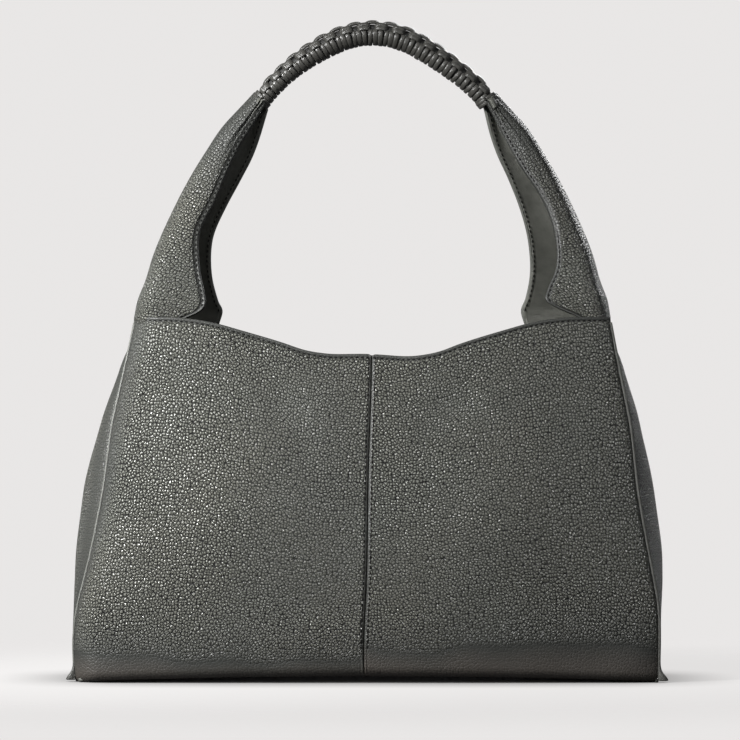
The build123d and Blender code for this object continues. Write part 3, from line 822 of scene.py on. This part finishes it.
def strap_rows(side_name):
    """The right strap's outer surface up from the mouth, for one side's free edges."""
    t = spaced([(0, 0), (30, 2.5), (150, 3.5), (205, 2.2)])
    x, z, depth, turn = columns(STRAP, t)
    fold = np.stack([x, 0 * x, z], axis=1)
    edges = [curve(table[side_name], t) for table in (FRONT_EDGE, BACK_EDGE)]
    middle = (edges[0] + edges[1]) / 2
    inward = unit(np.stack([middle[:, 0] - x, 0 * x, middle[:, 1] - z], axis=1))
    angle = np.linspace(0, math.pi / 2, TURN + 1)
    halves = []
    for edge, way in zip(edges, (-1, 1)):
        power = 1 - SQUARE * step(110, 20, t)[:, None]
        in_, out_ = 1 - np.abs(np.cos(angle)) ** power, np.abs(np.sin(angle)) ** power
        arc = (fold[:, None] + inward[:, None] * (turn[:, None] * in_)[..., None]
               + np.array([0, way, 0]) * (depth[:, None] * out_)[..., None])
        corner = arc[:, -1]
        tuck = 3.6 * step(60, 20, t) + 1.4
        tip = np.stack([edge[:, 0], way * (depth - tuck), edge[:, 1]], axis=1)
        width = np.linalg.norm(tip - corner, axis=1)[:, None]
        flat = np.linspace(0, 1, FLAT + 1)[None, 1:] * (1 - HEM_PLACES[-1] / width)
        f = np.concatenate([flat, 1 - HEM_PLACES[-2::-1][None] / width], axis=1)
        wing = corner[:, None] * (1 - f[..., None]) + tip[:, None] * f[..., None]
        inset = (1 - f) * width
        puff = 1.6 * step(20, 90, t)[:, None] * np.sin(np.pi * f)
        puff += 0.45 * bump(inset, 1.3, 1.1) - 0.5 * bump(inset, 0, 0.5)
        puff -= 0.35 * bump(inset, EDGE_STITCH, 0.6)
        wing[..., 1] += way * puff
        halves.append(np.concatenate([arc, wing], axis=1))
    grid = np.concatenate([halves[0][:, :0:-1], halves[1]], axis=1)
    return t, grid


def gusset_rows(z, side):
    """A gusset's outer surface at heights below the mouth, on the strap's columns."""
    half_width, bulge, half_depth, _ = columns(SHELL, z)
    angle = np.linspace(-math.pi / 2, math.pi / 2, 2 * TURN + 1)
    across = np.sign(angle) * np.abs(np.sin(angle)) ** (1 - SQUARE)
    backs = seam_back("front", side), seam_back("back", side)
    seam = half_depth[:, None] - np.where(angle < 0, backs[0], backs[1])
    y = across * seam
    x = half_width[:, None] + bow(seam, bulge[:, None], np.abs(y))
    pleat = 2.4 * bump(y, 0, 15) * step(110, 250, z)[:, None] * step(300, 262, z)[:, None]
    x = x - pleat + 0.7 * wander(y, z[:, None], 30, 51)
    x = x + side_sag(z, side)[:, None] * np.cos(angle)[None] ** 0.7
    rise = step(252, 290, z)[:, None]
    _, top_x, _, top_depth, top_turn = STRAP[0]
    x = x * (1 - rise) + rise * (top_x - top_turn * (1 - np.abs(np.cos(angle)) ** (1 - SQUARE)))
    y = y * (1 - rise) + rise * across * top_depth
    core = np.stack([x, y, z[:, None] + 0 * y], axis=2)
    return np.concatenate([core[:, :1]] * WING + [core] + [core[:, -1:]] * WING, axis=1)


def strap_flat_and_shade(t, rows, side):
    """Where the grain lies flat and darker: by the gusset's front seam, the strap's edges and the
    handle.

    By the gusset's front seam the darkening is painted shade, much stronger on the left.
    """
    edge = np.concatenate([np.zeros(FLAT), step(6.0, 4.0, HEM_PLACES[::-1])])
    edge = np.concatenate([edge[::-1], np.zeros(2 * TURN - 1), edge])
    up = 0.85 * step(95, 170, t)[:, None]
    share = np.clip(np.arange(2 * TURN + 1) / TURN, 0, 1)
    # Painted shade on the gusset by its front seam, much stronger on the left
    shaded_by_seam = np.pad((0.85 if side < 0 else 0.25) * step(1, 0.5, share), WING)
    return np.concatenate([np.tile(shaded_by_seam, (rows, 1)), np.maximum(up, edge[None])], axis=0)


def strap_folds(t, grid):
    """Creases that gather the strap into the handle, as a shift along the surface's normal."""
    q = np.linspace(0, 1, grid.shape[1])[None, :]
    gather = step(135, 200, t)[:, None]
    ridges = np.cos(q * 2 * math.pi * 3.5 + 0.6) * 0.9 + 0.5 * np.cos(q * 2 * math.pi * 7 + 2)
    soft = 0.8 * wander(t[:, None], q * 90, 30, 61) * step(20, 60, t)[:, None]
    return (gather * ridges + soft)[..., None] * grid_normals(grid)


def strap_edge_path(grid, column, inset):
    """A line on the strap a distance in from one free edge."""
    edge, inner = grid[:, column], grid[:, column + (6 if column == 0 else -6)]
    return edge + unit(inner - edge) * inset


def make_straps():
    for side_name, side in SIDES.items():
        t, strap = strap_rows(side_name)
        strap = strap + strap_folds(t, strap)
        low = spaced([(0, 0), (16, 4), (284, 6.5)])
        rows = np.concatenate([gusset_rows(low, side), strap], axis=0)
        keep = np.ones((rows.shape[0] - 1, rows.shape[1] - 1), bool)
        keep[:len(low), :WING] = False
        keep[:len(low), -WING:] = False
        grid = placed(rows, side)
        piece = oriented(f"strap_and_gusset_{side_name}", grid, LEATHER + STRAP_LINING, HIDE_LAYERS,
                         (side, 0, 0.2), keep, strap_flat_and_shade(t, len(low), side))
        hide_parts(*(f"{node}_{side_name}" for node in (
            "gusset", "strap_root", "strap_root_lining", "strap", "strap_lining")))
        strap_grid, runs = grid[len(low):], []
        normal = grid_normals(strap_grid)
        if (normal[:, strap_grid.shape[1] // 2, 0] * side).sum() < 0:
            normal = -normal
        for column in (0, strap_grid.shape[1] - 1):
            path = strap_edge_path(strap_grid, column, EDGE_STITCH * MM)[SEWN_ROWS]
            out = normal[SEWN_ROWS, column + (8 if column == 0 else -8)]
            for lift, way in ((0.1, 1), (0.1 - LEATHER - STRAP_LINING, -1)):
                runs += stitch_runs(path + out * (lift * MM), out * way)
        stitches = tube_object(f"strap_stitches_{side_name}", runs, [THREAD])
        for made in (piece, stitches):
            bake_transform(made)


def make_seam_edges():
    """The raw edges that stand out along the side seams, ending in an ear at each corner."""
    # The outward faces of each seam edge take the edge paint, paler as a painted highlight
    ring, painted, ear_top = 12, (2, 3), 14      # faces round an edge, and where its paint lies
    for side_name, side in SIDES.items():
        for face, way in FACES.items():
            z = spaced([(1.8, 0), (16, 1.1), (286, 4)])
            half_width, _, half_depth, _ = columns(SHELL, z)
            ear = bump(z, 0, 7.5)
            reach = 1.1 + 0.15 * wander(z, z, 20, 71) + 3.3 * ear - 0.3 * step(240, 286, z)
            outward = 0.6 if side > 0 else 0.86
            out = unit(np.stack([outward + (0.86 - outward) * ear,
                                 (0.7 - 0.5 * ear) * way, 0 * z], axis=1))
            line = np.stack([half_width - 0.7, (half_depth - seam_back(face, side)) * way, z], axis=1)
            centres = placed(line + out * reach[:, None], side)
            out[:, 0] *= side
            across = unit(np.cross(unit(np.gradient(centres, axis=0)), out))
            thick = 1.9 + 2.4 * ear
            section = oval(1, 1, ring, 0.6)[None] * np.stack([thick, 2 * reach], axis=1)[:, None] * MM
            edge = tube_object(f"seam_edge_{face}_{side_name}", [(centres, across, out, section)],
                               [SEAM_HIDE, EDGE_PAINT_AND_HIGHLIGHT])
            for k, polygon in enumerate(edge.data.polygons):
                height = z[min(k // ring, len(z) - 1)]
                polygon.material_index = int(k % ring in painted and height > ear_top)
            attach(edge, "bag")


# ---- the laced handle ----

def grip_line(s):
    """Centre, direction and outward normal of the handle at lengths from its top."""
    half = math.radians(GRIP_TOP_ANGLE)
    side_angle = half + (np.abs(s) - half * GRIP_TOP_RADIUS) / GRIP_SIDE_RADIUS
    angle = np.where(np.abs(s) < half * GRIP_TOP_RADIUS, np.abs(s) / GRIP_TOP_RADIUS, side_angle)
    top_centre = GRIP_TOP - GRIP_TOP_RADIUS
    shift = GRIP_TOP_RADIUS - GRIP_SIDE_RADIUS
    on_side = angle > half
    radius = np.where(on_side, GRIP_SIDE_RADIUS, GRIP_TOP_RADIUS)
    x = radius * np.sin(angle) + np.where(on_side, shift * math.sin(half), 0)
    z = top_centre + radius * np.cos(angle) + np.where(on_side, shift * math.cos(half), 0)
    way = np.sign(s) + (s == 0)
    centre = np.stack([x * way, 0 * x, z], axis=-1)
    outward = np.stack([np.sin(angle) * way, 0 * x, np.cos(angle)], axis=-1)
    centre[..., 0] += GRIP_SHIFT * step(465, 500, z)
    centre += outward * (LACE_RADIUS * (1 - grip_scale(s)))[..., None]
    return centre, outward


def grip_scale(s):
    """How the handle thins towards its ends, more on the left."""
    return 1 - 0.22 * step(25, 100, -s) - 0.13 * step(25, 100, s)


def on_grip(s, angle, radius):
    """A point off the handle's centreline. Angle is 0 at the front and a quarter turn on top."""
    centre, outward = grip_line(s)
    off = np.cos(angle)[..., None] * np.array([0, -1.0, 0]) + np.sin(angle)[..., None] * outward
    return centre + off * (radius * grip_scale(s))[..., None], off


def lace_run(s, angle, radius, width, height):
    """One strand of lace lying on the grip, as a run for tube_object."""
    centres, off = on_grip(s, angle, radius)
    centres = placed(centres)
    along = unit(np.gradient(centres, axis=0))
    sideways = unit(np.cross(along, off))
    return centres, sideways, np.cross(sideways, along), oval(width, height, 12, 0.7) * MM


def make_handle():
    rng = np.random.RandomState(7)
    pitch, f = 2 * GRIP_HALF / LACE_CELLS, np.linspace(-1, 1, 20)
    s = np.linspace(-GRIP_HALF - 4, GRIP_HALF + 4, 90)
    centre, outward = grip_line(s)
    spin = np.repeat(np.array([[0, -1.0, 0]]), len(s), axis=0)
    ring = oval(2 * ROLL_RADIUS, 2 * ROLL_RADIUS, 24)[None] * grip_scale(s)[:, None, None] * MM
    roll = tube_object("handle_roll_leather", [(placed(centre), spin, outward, ring)], [SHADED_ROLL])
    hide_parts("handle_roll", "handle_core")
    runs = []
    for cell in range(LACE_CELLS):
        start = -GRIP_HALF + cell * pitch
        widths = np.array([0.34, 0.30, 0.27]) * pitch
        at = start + 0.045 * pitch
        for k, width in enumerate(widths):
            sweep = np.linspace(-1, 1, 44)
            angle = np.radians(-90 + 110 * sweep)
            lean = (0.07 if k < 2 else -0.03) * pitch
            line = at + width / 2 - lean * sweep + rng.uniform(-0.2, 0.2)
            bulk = ROLL_RADIUS + 0.9 + rng.uniform(-0.1, 0.3) - 0.9 * np.abs(sweep) ** 8
            runs.append(lace_run(line, angle, bulk, width * 0.98, 2.1))
            at += width + (0.012 if k < 2 else 0.06) * pitch
        for low, high in ((19, 61), (161, 119)):
            for strand in (0, 1):
                middle = low + (high - low) * (0.24 + 0.52 * strand) + rng.uniform(-1, 1)
                line = start + pitch * (0.5 + 0.33 * f)
                bulk = ROLL_RADIUS + 2.1 - 2.8 * np.abs(f) ** 4 + rng.uniform(-0.15, 0.15)
                angle = np.radians(middle + (low - middle) * 0.25 * np.abs(f) ** 3)
                runs.append(lace_run(line, angle, bulk, 3.9, 1.8))
        for degrees in (72, 90, 108) if cell < LACE_CELLS - 1 else ():
            line = start + pitch * (1.0 + 0.46 * f)
            bulk = ROLL_RADIUS + 2.3 - 2.4 * np.abs(f) ** 2.6 + rng.uniform(-0.15, 0.15)
            runs.append(lace_run(line, np.full(20, math.radians(degrees)), bulk, 3.4, 2.4))
    for end in (-1, 1):
        for k in range(2):
            angle = np.linspace(0, 2 * math.pi * 0.98, 48)
            line = end * (GRIP_HALF + 0.5 + 2.6 * k) + 0.9 * np.sin(angle)
            runs.append(lace_run(line, angle, ROLL_RADIUS + 1.9 + 0 * angle, 3.2, 1.9))
    lace = tube_object("handle_lace", runs, [LACE])
    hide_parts("handle_wrap")
    for made in (roll, lace):
        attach(made, "strap")


# ---- inside pieces ----

def make_inside():
    """Finishes for the pieces inside, which keep their CAD shapes."""
    finishes = {
        "snap_stud": METAL, "snap_socket": METAL, "zip_slider": METAL, "zip_pull": METAL,
        "zip_stop_left": METAL, "zip_stop_right": METAL, "zip_tape_upper": TAPE, "zip_tape_lower": TAPE,
        "zip_coil_upper": TAPE, "zip_coil_lower": TAPE, "zip_pocket_bag": CLOTH,
        "slip_pocket": POCKET_HIDE, "zip_frame": POCKET_HIDE,
    }
    for node, material in finishes.items():
        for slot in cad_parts[node].material_slots:
            slot.material = material


# ---- stage ----

PAPER = (0.812, 0.797, 0.790)
FLOOR_GLOW, ROOM_LIGHT, ROOM_COLOUR = 0.885, 0.20, (0.80, 0.81, 0.83, 1)
CONTACT_SHADOW_REACH = 0.07         # how far round the bag the floor is dimmed, in metres
FADE_START, FADE_END = 0.32, 0.75            # metres out, where the floor fades away


def seen_or_felt(tree, seen, felt):
    """Mixes two shaders: the first for what the camera sees, the second for the light it gives."""
    seen_directly = add_node(tree, "LightPath").outputs["Is Camera Ray"]
    return add_node(tree, "MixShader", {0: seen_directly, 1: felt, 2: seen}).outputs[0]


def make_floor():
    """A pale floor that fades into the same pale background, its glow dimmed round the bag as a painted
    contact shadow.
    """
    bpy.ops.mesh.primitive_plane_add(size=8, location=(0, 0, -0.0002))
    floor = bpy.context.object
    floor.name = "floor"
    material = bpy.data.materials.new("floor_paper")
    material.use_nodes = True
    tree = material.node_tree
    tree.nodes.remove(tree.nodes["Principled BSDF"])
    paper = add_node(tree, "BsdfDiffuse", {"Color": (0.09, 0.089, 0.088, 1)}).outputs[0]
    # The floor's glow is dimmed by occlusion round the bag, a painted contact shadow
    contact_shadow = add_node(tree, "AmbientOcclusion", {"Distance": CONTACT_SHADOW_REACH}, samples=12)
    shadowed_glow = add_node(tree, "Math", {0: contact_shadow.outputs["AO"], 1: FLOOR_GLOW},
                      operation="MULTIPLY").outputs[0]
    glow = add_node(tree, "Emission", {"Color": (*PAPER, 1), "Strength": shadowed_glow}).outputs[0]
    glowing = add_node(tree, "AddShader", {0: paper, 1: glow}).outputs[0]
    where = add_node(tree, "TexCoord").outputs["Object"]
    far = add_node(tree, "VectorMath", {0: where}, operation="LENGTH").outputs["Value"]
    fade = add_node(tree, "MapRange", {"Value": far, "From Min": FADE_START, "From Max": FADE_END},
                    interpolation_type="SMOOTHSTEP").outputs["Result"]
    clear = add_node(tree, "BsdfTransparent").outputs[0]
    near = seen_or_felt(tree, glowing, paper)
    whole = add_node(tree, "MixShader", {0: fade, 1: near, 2: clear}).outputs[0]
    tree.links.new(whole, tree.nodes["Material Output"].inputs["Surface"])
    floor.data.materials.append(material)


def make_world():
    world = bpy.data.worlds.new("studio")
    world.use_nodes = True
    tree = world.node_tree
    tree.nodes.remove(tree.nodes["Background"])
    seen = add_node(tree, "Background", {"Color": (*PAPER, 1), "Strength": 1.0}).outputs[0]
    felt = add_node(tree, "Background", {"Color": ROOM_COLOUR, "Strength": ROOM_LIGHT}).outputs[0]
    tree.links.new(seen_or_felt(tree, seen, felt), tree.nodes["World Output"].inputs["Surface"])
    bpy.context.scene.world = world
    bpy.context.scene.view_settings.view_transform = "Standard"


def area_light(name, place, size, power, aim=(0, 0, 0.25), spread=180):
    data = bpy.data.lights.new(name, "AREA")
    data.spread = math.radians(spread)
    data.shape, data.size, data.size_y, data.energy = "RECTANGLE", *size, power
    light = bpy.data.objects.new(name, data)
    light.location = place
    light.rotation_euler = (Vector(aim) - Vector(place)).to_track_quat("-Z", "Y").to_euler()
    bpy.context.scene.collection.objects.link(light)


def make_lights():
    area_light("key", (-1.2, -1.05, 1.0), (0.28, 0.4), 7.6, (-0.24, 0, 0.27), 44)
    area_light("front_fill", (0.9, -3.0, 1.5), (1.2, 0.8), 14)
    area_light("right_edge", (2.2, -0.6, 1.4), (0.4, 1.0), 4)
    area_light("back_fill", (0.8, 2.4, 1.3), (1.2, 0.8), 34)


CAMERA_DISTANCE, VIEW_WIDTH, VIEW_DEPTH = 4.5, 0.592, -0.035


def make_camera():
    data = bpy.data.cameras.new("camera")
    data.sensor_width = 36
    data.lens = 36 * (CAMERA_DISTANCE + VIEW_DEPTH) / VIEW_WIDTH
    camera = bpy.data.objects.new("camera", data)
    camera.location = (0.0016, -CAMERA_DISTANCE, 0.248)
    camera.rotation_euler = (math.pi / 2, 0, 0)
    data.clip_end = 60
    bpy.context.scene.collection.objects.link(camera)
    bpy.context.scene.camera = camera


make_camera()
make_floor()
make_world()
make_lights()
make_panels()
make_facings()
make_base()
make_lining()
make_straps()
make_seam_edges()
make_handle()
make_inside()
